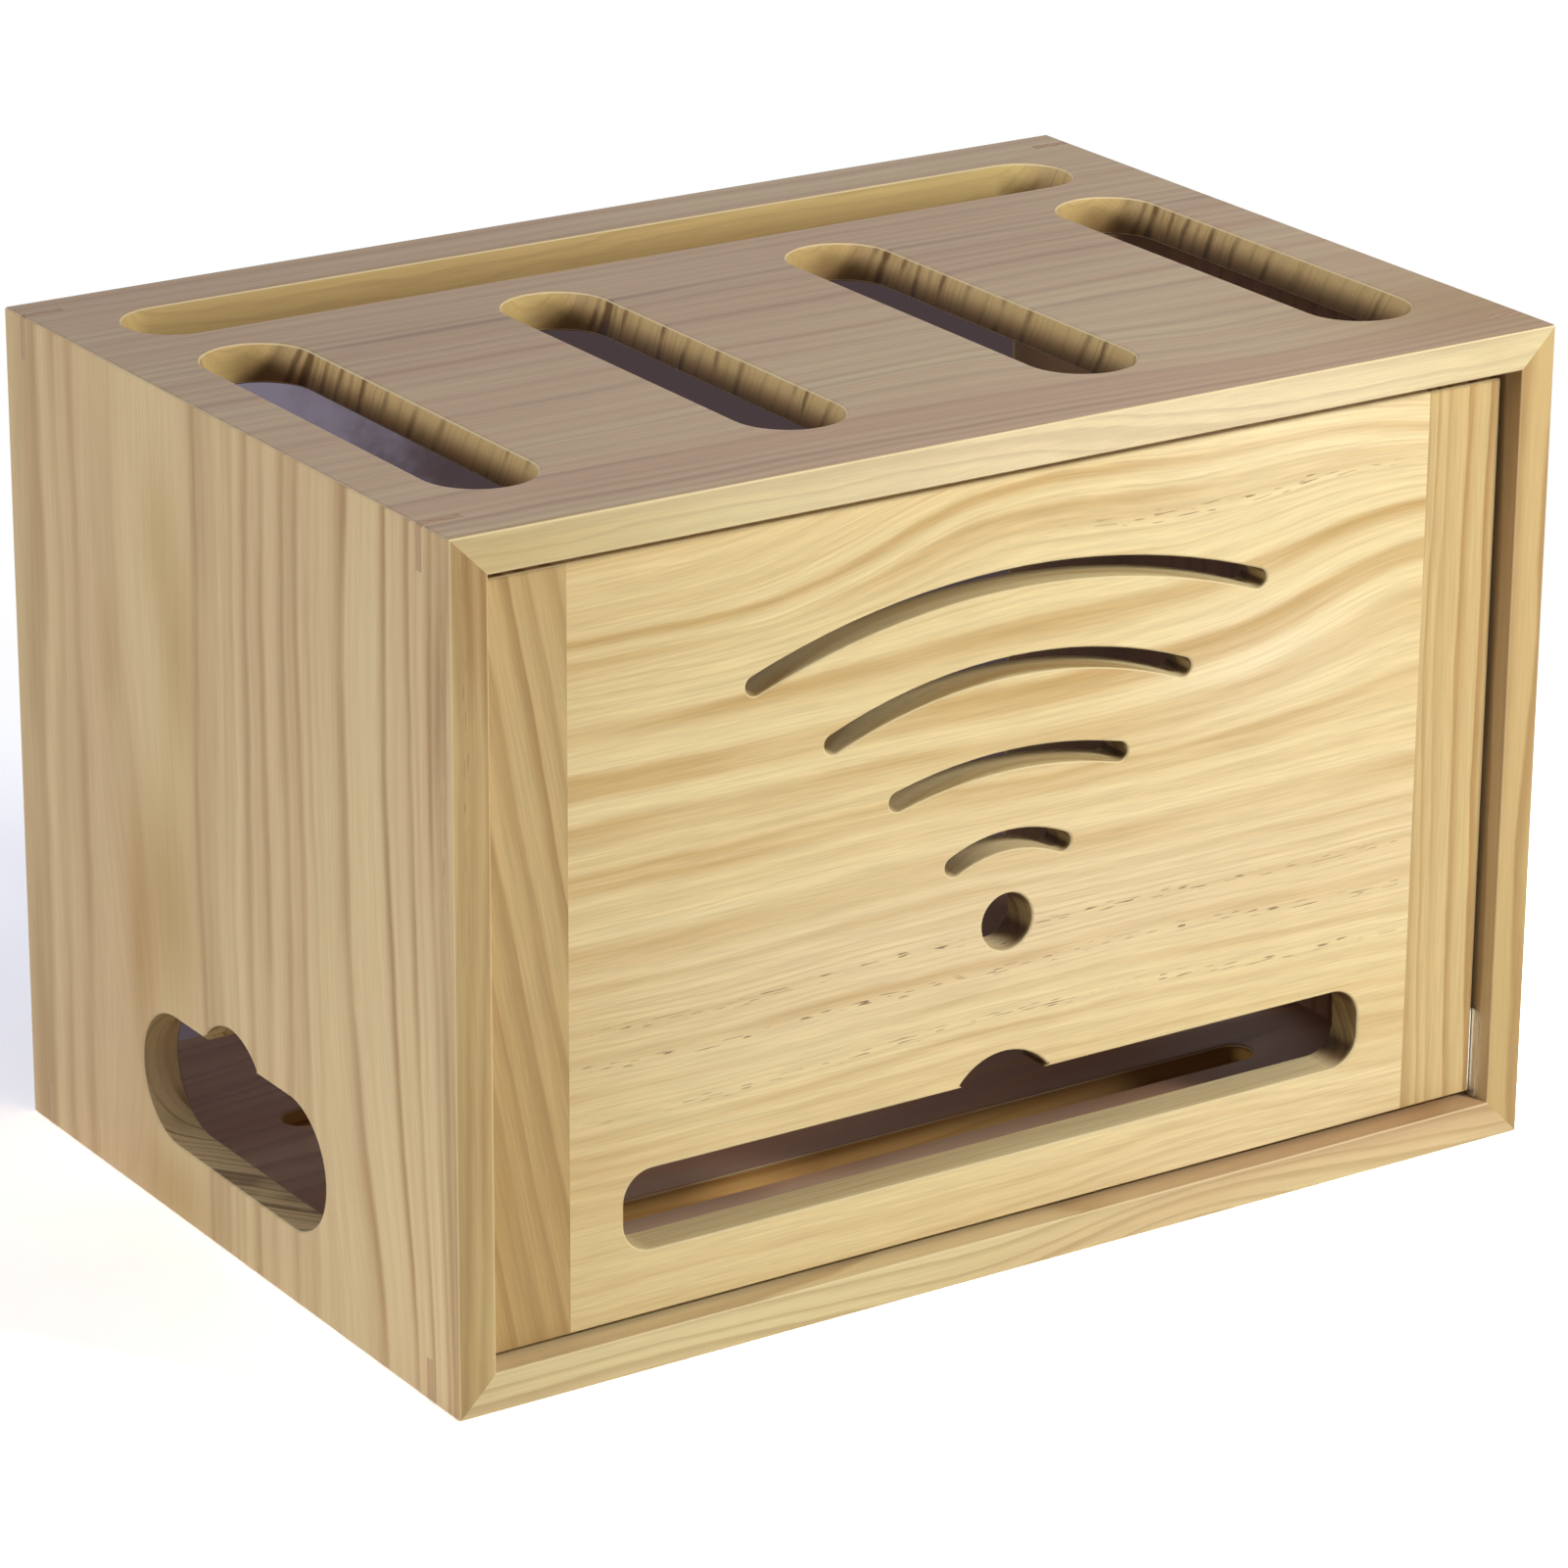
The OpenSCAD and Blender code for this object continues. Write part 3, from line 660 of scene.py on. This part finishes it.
def pine(name, log, looks, swerves=(), bands=(), rows=(), stains_and_shade=()):
    """Planed pine. log holds the axis of the grain, its lean in degrees, the pith as a point in
    metres, the ring width, the late share and the wander and waviness of the lines. looks holds
    the colours of early wood, late wood, tint and end grain and of the painted highlight on the
    broken edges, the factors that tone the fore edge and the walls, partly the wood's own tone and
    partly painted light and shade, the factor of the painted shading inside the case, and the
    weight of each effect.
    A swerve is a centre, a reach and a push in metres, a band is a point on the face with a
    width and a depth, a row is a point where resin ducts lie in a line with a centre and a
    reach of it, and each of the stains and patches of painted shade is a centre, a reach, a
    strength and a colour."""
    material, w = new_material(name)
    where = w.add("TexCoord").outputs
    origin = where["Object"]
    growth, rings = lay_log(w, origin, log, swerves)
    masks = board_masks(w, where, log["along"], looks["flat"])

    shown = w.ramp(masks["cut"], 0.0, 1.0, looks["rings"], looks["wall_rings"])
    late_wood = w.math("MULTIPLY", rings["Late Wood"], shown)
    if bands:
        spots = [(radius_at(point, log), wide, deep) for point, wide, deep in bands]
        drawn = w.math("MULTIPLY", late_bands(w, growth["Radius"], spots), growth["Fade"])
        late_wood = w.math("MAXIMUM", late_wood, drawn)

    colour = tinted_wood(w, origin, growth, rings, looks, stains_and_shade)
    colour = w.blend(w.math("MULTIPLY", late_wood, looks["lines"], clamp=True), colour, looks["late"])
    ends = w.blend(w.ramp(late_wood, 0.05, 0.45), looks["end"], looks["end_line"])
    colour = w.blend(masks["end_grain"], colour, ends)
    fibre = w.ramp(growth["Fibre"], 0.25, 0.75, 1.0 - looks["fibre"], 1.0 + looks["fibre"])
    colour = w.blend(1.0, colour, fibre, "MULTIPLY")
    # Painted shade that deepens down the routed walls.
    if "deep_shade" in looks:
        colour = shaded_and_toned(w, deep_shade_mask(w, where, masks, looks), colour, looks["deep_shade"])
    # The inside factor paints shade inside the case, and the fore edge and wall factors add painted
    # light and shade to the wood's own tone.
    for surface in ("fore_edge", "walls", "inside"):
        colour = shaded_and_toned(w, masks[surface], colour, looks[surface])
    # A painted highlight along the broken edges.
    colour = w.blend(w.math("MULTIPLY", masks["arris"], looks["highlight"]), colour, looks["arris_highlight"])
    for point, centre, reach in rows:
        colour = resin_row(w, origin, growth, colour, looks, radius_at(point, log), centre, reach)

    grain = w.math(
        "ADD", w.math("MULTIPLY", growth["Fibre"], 0.35), w.math("MULTIPLY", late_wood, 0.4)
    )
    wood = w.add(
        "BsdfPrincipled", Base_Color=colour, Specular_IOR_Level=0.3,
        Roughness=w.ramp(late_wood, 0.0, 0.8, looks["rough"], looks["rough"] - 0.1),
        Normal=w.bump(grain, 0.35, 0.0003),
    )
    w.add("OutputMaterial", Surface=wood.outputs[0])
    return material


case_looks = {
    "early": srgb(219, 201, 164), "late": srgb(176, 142, 100), "tint": srgb(212, 180, 146),
    "end": srgb(190, 164, 112), "end_line": srgb(104, 80, 50), "arris_highlight": srgb(240, 226, 186),
    "fore_edge": (0.78, 0.74, 0.62, 1), "walls": (0.86, 0.78, 0.6, 1),
    # The inside factor darkens the case inside: painted shade.
    "inside": (0.6, 0.48, 0.5, 1), "flat": "X",
    "rings": 1.0, "wall_rings": 1.0, "lines": 0.9, "cloud": 0.4, "band": 0.5,
    "fibre": 0.06, "fleck": 0.4, "highlight": 0.5, "rough": 0.58,
}

# A reach that takes in the whole thickness of a board, and a factor that changes no colour.
through = 0.3
unchanged = (1, 1, 1, 1)


def top_line(forward, wide, deep):
    """A growth line of the top board by its place from the front to the back, in millimetres."""
    return (0.0, forward / 1000, case_high.z), wide / 1000, deep


def top_spot(x, y, wide, long):
    """The centre and the reach of a spot on the top board."""
    return (x, y, case_high.z), (wide, long, through)


top_pine = pine(
    "top_pine",
    {"along": "X", "pith": (-0.4, -0.5, 0.02), "ring": 0.0023, "late": 0.5,
     "wander": 0.008, "waviness": 0.0025},
    case_looks | {
        "early": srgb(211, 194, 167), "late": srgb(140, 110, 93), "tint": srgb(193, 161, 142),
        "end": srgb(188, 163, 149), "end_line": srgb(94, 70, 54),
        # The fore edge and the slot walls are made lighter and yellower: partly the paler cut wood,
        # partly painted light where the front lamp falls.
        "fore_edge": (1.37, 1.6, 1.48, 1), "walls": (1.22, 1.24, 0.77, 1), "flat": "Z",
        "rings": 0.22, "wall_rings": 0.22, "lines": 1.15, "cloud": 0.6, "highlight": 0.7,
        # Painted shade deepens down the slot walls, less on walls that face the lamp at the front
        # right.
        "deep_shade": (0.4, 0.33, 0.32, 1), "deep_shade_levels": (case_high.z + 0.0005, case_high.z - 0.011),
        "toward_lamps": [((0.71, -0.71, 0), 0.4, 0.3)],
    },
    swerves=(
        (*top_spot(0.12, -0.105, 0.1, 0.035), (0, 0.012, 0)),
        (*top_spot(0.0, -0.07, 0.06, 0.02), (0, -0.004, 0)),
    ),
    stains_and_shade=(
        # The front edge of the top darkens towards its left end.
        ((case_low.x - 0.01, -0.1305, 0.253), (0.13, 0.0025, 0.02), 0.9, srgb(172, 142, 104)),
        ((0.18, -0.1, case_high.z), (0.05, 0.04, 0.1), 0.8, srgb(172, 144, 110)),
    ),
    bands=[top_line(*line) for line in (
        (125, 2, 0.3), (117, 1.5, 0.25), (110, 2.5, 0.25), (98, 2, 0.2), (88, 2, 0.3),
        (80, 1.5, 0.3), (73, 1.5, 0.3), (66, 3, 0.3), (61, 1.5, 0.2), (57, 2, 0.25), (52, 2, 0.3),
        (46, 2, 0.45), (41, 3.5, 0.75), (36, 1.5, 0.35), (31, 2.5, 0.4), (27, 1.5, 0.25),
        (23, 2.5, 0.4), (17, 2, 0.3), (10, 2.5, 0.45), (3, 2, 0.25), (-3, 3, 0.4), (-12, 2, 0.25),
        (-20, 3, 0.35), (-27, 2, 0.2), (-34, 3, 0.35), (-46, 2.5, 0.2), (-54, 2, 0.2),
        (-62, 2.5, 0.3), (-69, 2, 0.4), (-81, 3, 0.3), (-90, 2, 0.2), (-97, 2.5, 0.45),
        (-104, 2, 0.2), (-108, 2, 0.3), (-113, 2.5, 0.4), (-119, 2.5, 0.45), (-124, 2, 0.4),
    )],
)
bottom_pine = pine(
    "bottom_pine",
    {"along": "X", "pith": (0.3, -0.1, -0.2), "ring": 0.0052, "late": 0.5,
     "wander": 0.02, "waviness": 0.002},
    case_looks | {
        "early": srgb(222, 206, 164), "late": srgb(160, 122, 80), "tint": srgb(196, 158, 124),
        # The walls factor is painted light on the slot walls where the lamp falls through the door
        # slot, and the inside factor paints the dim cool light inside the case.
        "fore_edge": (1.06, 1.13, 1.12, 1), "walls": (1.3, 1.13, 0.77, 1),
        "inside": (1.2, 1.06, 1.3, 1), "cloud": 0.7, "flat": "Z",
    },
    swerves=(((0.066, case_low.y, 0.0), (0.05, 0.03, 0.016), (0, 0, -0.006)),),
    # Painted shade: the inside of the bottom is darker on the right and just behind the door, and the
    # far wall of its front slot is darker at the right end, where shadow falls.
    stains_and_shade=(
        ((0.17, 0.0, inner_foot), (0.13, 0.12, 0.003), 0.85, srgb(104, 76, 56)),
        ((-0.06, -0.045, inner_foot), (0.22, 0.05, 0.003), 0.55, srgb(104, 76, 56)),
        ((0.13, -0.0515, 0.004), (0.09, 0.003, 0.012), 0.9, srgb(78, 52, 46)),
    ),
)


def left_line(back, wide, deep):
    """A growth line of the left board by its distance from the back edge, in millimetres."""
    return (case_low.x, case_high.y - back / 1000, 0.0), wide / 1000, deep


def left_spot(y, z, wide, high):
    """The centre and the reach of a spot on the left board."""
    return (case_low.x, y, z), (through, wide, high)


left_pine = pine(
    "left_pine",
    {"along": "Z", "pith": (0.205, 0.28, 0.4), "ring": 0.0034, "late": 0.5,
     "wander": 0.006, "waviness": 0.0015},
    case_looks | {
        "early": srgb(222, 202, 160), "late": srgb(148, 106, 56), "tint": srgb(208, 170, 138),
        "end": srgb(205, 178, 134), "end_line": srgb(112, 84, 54),
        "fore_edge": (0.84, 0.83, 0.7, 1), "walls": (1.3, 1.35, 1.35, 1),
        "rings": 0.05, "wall_rings": 0.4, "lines": 1.0, "cloud": 0.3, "band": 0.1,
    },
    swerves=(
        (*left_spot(-0.088, 0.0, 0.032, 0.075), (0, 0.018, 0)),
        (*left_spot(-0.085, 0.27, 0.035, 0.05), (0, 0.004, 0)),
        (*left_spot(0.052, 0.05, 0.022, 0.09), (0, 0.018, 0)),
    ),
    bands=[left_line(*line) for line in (
        (9, 5, 0.25), (16.7, 4, 0.5), (31, 2.2, 0.45), (35.5, 1.5, 0.15), (42.5, 2.5, 0.5),
        (47, 1.5, 0.12), (58, 5, 0.15), (66, 4, 0.2), (80, 1.5, 0.1), (116, 2, 0.45), (121, 4, 0.3),
        (127.5, 4, 0.38), (133.5, 2, 0.3), (137.5, 2, 0.35), (146.5, 2.6, 0.5), (151, 1.5, 0.12),
        (156, 2.4, 0.5), (167.5, 2.4, 0.5), (171, 1.5, 0.2), (175.5, 2.6, 0.6), (182.5, 2, 0.3),
        (187, 1.5, 0.12), (192, 8, 0.1), (200.5, 4, 0.75), (209, 1.5, 0.1), (224, 2.4, 0.7),
        (229.5, 1.5, 0.12), (237.5, 2.2, 0.6), (242, 1.5, 0.2), (249.5, 2.2, 0.6), (254, 3, 0.55),
        (257.5, 3, 0.6),
    )],
    rows=(((case_low.x, -0.126, 0.0), *left_spot(-0.126, 0.2, through, 0.06)),),
    stains_and_shade=[(*left_spot(*spot), strength, srgb(178, 142, 84)) for spot, strength in (
        ((0.036, 0.215, 0.011, 0.024), 0.35),
        ((0.026, 0.182, 0.011, 0.032), 0.5),
        ((0.036, 0.1, 0.02, 0.04), 0.6),
        ((0.055, 0.085, 0.006, 0.04), 0.5),
        ((0.068, 0.17, 0.005, 0.02), 0.35),
        ((0.037, 0.008, 0.022, 0.016), 0.6),
    )],
)
# The right board's early wood is made darker so that its inner face in front of the door lies in
# painted shade, its fore edge factor lifts the front edge back up, its darker walls factor is painted
# shade too, and so is the stain at the top of that inner face.
right_pine = pine(
    "right_pine",
    {"along": "Z", "pith": (0.32, 0.1, -0.5), "ring": 0.0055, "late": 0.45,
     "wander": 0.012, "waviness": 0.002},
    case_looks | {
        "early": srgb(177, 156, 113), "late": srgb(143, 107, 64), "highlight": 0.2,
        "fore_edge": (1.16, 1.16, 1.04, 1), "walls": (0.8, 0.7, 0.5, 1),
    },
    stains_and_shade=(((inner_right, -0.1265, 0.23), (0.004, 0.0045, 0.09), 0.7, srgb(144, 114, 76)),),
)

planed("top_board", "top_board_planed", "case", top_pine)
planed("bottom_board", "bottom_board_planed", "case", bottom_pine)
planed("left_side", "left_side_planed", "case", left_pine)
planed("right_side", "right_side_planed", "case", right_pine)


# Corner keys
# Thin slips of slightly darker wood glued into saw cuts across the mitres, two at each corner,
# and planed flush with the boards.

key_pine = pine(
    "key_pine",
    {"along": "Z", "pith": (0.02, 0.5, 0.3), "ring": 0.002, "late": 0.5,
     "wander": 0.004, "waviness": 0.001},
    case_looks | {
        "early": srgb(200, 174, 138), "late": srgb(162, 132, 98), "tint": srgb(184, 152, 120),
        "end": srgb(186, 154, 128), "end_line": srgb(150, 116, 92),
        "walls": unchanged, "highlight": 0.0,
    },
)
planed("mitre_keys", "mitre_keys_planed", "case", key_pine)


# Door
# A panel with its grain across, held between two uprights by a tongue at each end. The cut-outs
# are routed right through it.

door_looks = case_looks | {
    "early": srgb(234, 218, 173), "late": srgb(182, 142, 78), "tint": srgb(222, 196, 146),
    "end": srgb(190, 164, 116), "end_line": srgb(130, 102, 64),
    "fore_edge": unchanged, "walls": (1.0, 1.02, 1.02, 1), "inside": unchanged, "flat": "Y",
    "lines": 0.95, "cloud": 0.35, "band": 0.25, "fibre": 0.09, "fleck": 0.85, "highlight": 0.85,
}


def panel_line(height, wide, deep):
    """A growth line of the panel by its height at the panel's left end, in millimetres."""
    return (door_low.x, door_low.y, height / 1000), wide / 1000, deep


def door_spot(x, z, wide, high):
    """The centre and the reach of a spot on the door."""
    return (x, door_low.y, z), (wide, through, high)


panel_pine = pine(
    "panel_pine",
    {"along": "X", "pith": (0.1, 0.215, -0.167), "ring": 0.0014, "late": 0.5,
     "wander": 0.01, "waviness": 0.0018},
    door_looks | {
        "rings": 0.3, "wall_rings": 0.3,
        # Painted shade darkens the routed walls with depth, least on walls that face up to the right
        # or to the left, towards the lamps.
        "deep_shade": (0.25, 0.185, 0.155, 1), "deep_shade_levels": (door_low.y, door_low.y + 0.0023),
        "toward_lamps": [((0.45, 0, 0.9), 0.4, 0.0), ((-1, 0, 0), 0.85, 0.1)],
    },
    swerves=(
        (*door_spot(0.0, 0.245, 0.075, 0.035), (0, 0, -0.02)),
        (*door_spot(0.12, 0.245, 0.075, 0.035), (0, 0, -0.015)),
        (*door_spot(0.15, 0.19, 0.055, 0.032), (0, 0, -0.016)),
    ),
    bands=[panel_line(*line) for line in (
        (240, 2, 0.4), (233, 2.5, 0.35), (226, 1.5, 0.3), (219, 2, 0.7), (213, 2, 0.6),
        (210, 1.5, 0.4), (206, 1.5, 0.2), (201, 1.5, 0.2), (195.5, 4, 0.75), (188, 1.5, 0.2),
        (180.5, 5, 0.7), (175.5, 1.5, 0.35), (165, 5.5, 0.6), (160, 1.5, 0.2), (155, 1.5, 0.35),
        (151, 2, 0.65), (147, 2.2, 0.6), (141, 1.5, 0.35), (138.5, 1.2, 0.25), (130, 4, 0.65),
        (124, 1.5, 0.25), (118.5, 2, 0.45), (112, 1.5, 0.35), (105.5, 1.5, 0.4), (102, 1.2, 0.15),
        (96, 2.5, 0.6), (89, 1.2, 0.2), (85, 1.8, 0.45), (79, 1.2, 0.2), (72, 1.8, 0.6),
        (66, 1.8, 0.5), (61, 1.8, 0.45), (56, 2, 0.5), (50, 3, 0.55), (45, 2, 0.4),
        (40, 2, 0.35), (36, 2, 0.35), (31, 1.2, 0.3), (27.5, 1.5, 0.45), (23.5, 1.2, 0.35),
        (20.5, 1.1, 0.45), (17, 1.4, 0.35),
    )],
    rows=[
        ((0.0, door_low.y, height), *door_spot(middle, 0.15, reach, through))
        for height, middle, reach in (
            (0.209, 0.085, 0.05), (0.1045, 0.0, 0.3), (0.0925, 0.0, 0.3), (0.0765, 0.05, 0.2),
        )
    ],
    stains_and_shade=[(*door_spot(*spot), strength, tone) for spot, strength, tone in (
        ((0.02, 0.106, 0.25, 0.033), 0.7, srgb(230, 212, 180)),
        ((0.1, 0.236, 0.07, 0.026), 0.6, srgb(245, 232, 200)),
        ((0.09, 0.172, 0.045, 0.022), 0.75, srgb(245, 232, 200)),
        ((0.1, 0.022, 0.09, 0.018), 0.6, srgb(245, 232, 196)),
        ((-0.16, 0.225, 0.06, 0.035), 0.5, srgb(208, 184, 136)),
        ((-0.17, 0.09, 0.055, 0.055), 0.55, srgb(208, 184, 136)),
    )],
)
left_stile_pine = pine(
    "left_stile_pine",
    {"along": "Z", "lean": 11.0, "pith": (-0.5, -0.3, 0.2), "ring": 0.0075, "late": 0.65,
     "wander": 0.012, "waviness": 0.002},
    door_looks | {
        "early": srgb(199, 176, 130), "late": srgb(152, 118, 68), "tint": srgb(182, 152, 103),
        "lines": 0.8,
    },
    stains_and_shade=((*door_spot(-0.163, 0.05, through, 0.08), 0.4, srgb(178, 144, 88)),),
)
right_stile_pine = pine(
    "right_stile_pine",
    {"along": "Z", "pith": (0.6, -0.3, -0.3), "ring": 0.006, "late": 0.55,
     "wander": 0.008, "waviness": 0.0015},
    door_looks | {
        "early": srgb(209, 187, 140), "late": srgb(166, 128, 78), "tint": srgb(193, 164, 113),
        "lines": 0.8,
    },
)
planed("door_panel", "door_panel_planed", "door", panel_pine)
planed("door_stile_left", "door_stile_left_planed", "door", left_stile_pine)
planed("door_stile_right", "door_stile_right_planed", "door", right_stile_pine)


# Flap hinges
# A nickel-plated strip on each side of the case and one let into each edge of the door, joined
# by a short headed pin near the lower front corner of the door.

rolled_upright = (1500, 1500, 40)
rolled_across = (40, 1500, 1500)
grained_evenly = (900, 900, 900)


def plated_steel(name, colour, rough, rolled):
    """Bright plated steel, a little duller in patches, with faint lines from rolling whose
    waves per metre are given per axis."""
    material, w = new_material(name)
    place = w.add("TexCoord").outputs["Object"]
    lines = w.noise(place, rolled, 1.0, 0.5)
    dull = w.noise(place, (120, 120, 120), 2.0, 0.5)
    metal = w.add(
        "BsdfPrincipled", Metallic=1.0,
        Base_Color=w.blend(1.0, colour, w.ramp(lines, 0.3, 0.7, 0.93, 1.0), "MULTIPLY"),
        Roughness=w.ramp(dull, 0.3, 0.7, rough - 0.04, rough + 0.06),
        Normal=w.bump(lines, 0.05, 0.0001),
    )
    w.add("OutputMaterial", Surface=metal.outputs[0])
    return material


leaf_nickel = plated_steel("leaf_nickel", srgb(226, 222, 212), 0.36, rolled_upright)
pin_nickel = plated_steel("pin_nickel", srgb(212, 208, 200), 0.3, rolled_across)
for side in ("left", "right"):
    planed(f"case_leaf_{side}", f"case_leaf_{side}_plated", "case", leaf_nickel)
    planed(f"door_leaf_{side}", f"door_leaf_{side}_plated", "door", leaf_nickel)
    planed(f"hinge_pin_{side}", f"hinge_pin_{side}_plated", "case", pin_nickel)


# Wood screws
# Zinc-plated countersunk screws with a cross recess. They hold the leaves, the catch and the
# strike plate, and sit level with the face round them.

screw_zinc = plated_steel("screw_zinc", srgb(190, 190, 184), 0.3, grained_evenly)
planed("case_leaf_screws", "case_leaf_screws_plated", "case", screw_zinc)
planed("door_leaf_screws", "door_leaf_screws_plated", "door", screw_zinc)
planed("catch_screws", "catch_screws_plated", "case", screw_zinc)
planed("strike_screws", "strike_screws_plated", "door", screw_zinc)


# Magnetic catch
# A moulded housing under the top board holds a ferrite magnet between two steel pole plates.
# They draw in the strike plate on the back of the door.


def moulded(name, colour, rough):
    """Satin moulded stuff with a faint pebbled skin and a slight drift of colour."""
    material, w = new_material(name)
    place = w.add("TexCoord").outputs["Object"]
    pebble = w.noise(place, (2600, 2600, 2600), 1.0, 0.5)
    drift = w.ramp(w.noise(place, (90, 90, 90)), 0.3, 0.7, 0.93, 1.0)
    skin = w.add(
        "BsdfPrincipled", Base_Color=w.blend(1.0, colour, drift, "MULTIPLY"),
        Roughness=w.ramp(pebble, 0.3, 0.7, rough - 0.06, rough + 0.06),
        Normal=w.bump(pebble, 0.12, 0.0001),
    )
    w.add("OutputMaterial", Surface=skin.outputs[0])
    return material


housing_plastic = moulded("housing_plastic", srgb(222, 216, 200), 0.45)
magnet_ferrite = moulded("magnet_ferrite", srgb(58, 58, 60), 0.6)
pole_steel = plated_steel("pole_steel", srgb(206, 204, 198), 0.34, rolled_across)
planed("catch_housing", "catch_housing_moulded", "case", housing_plastic)
planed("catch_magnet", "catch_magnet_pressed", "case", magnet_ferrite)
planed("catch_pole_plates", "catch_pole_plates_cut", "case", pole_steel)
planed("strike_plate", "strike_plate_pressed", "door", pole_steel)
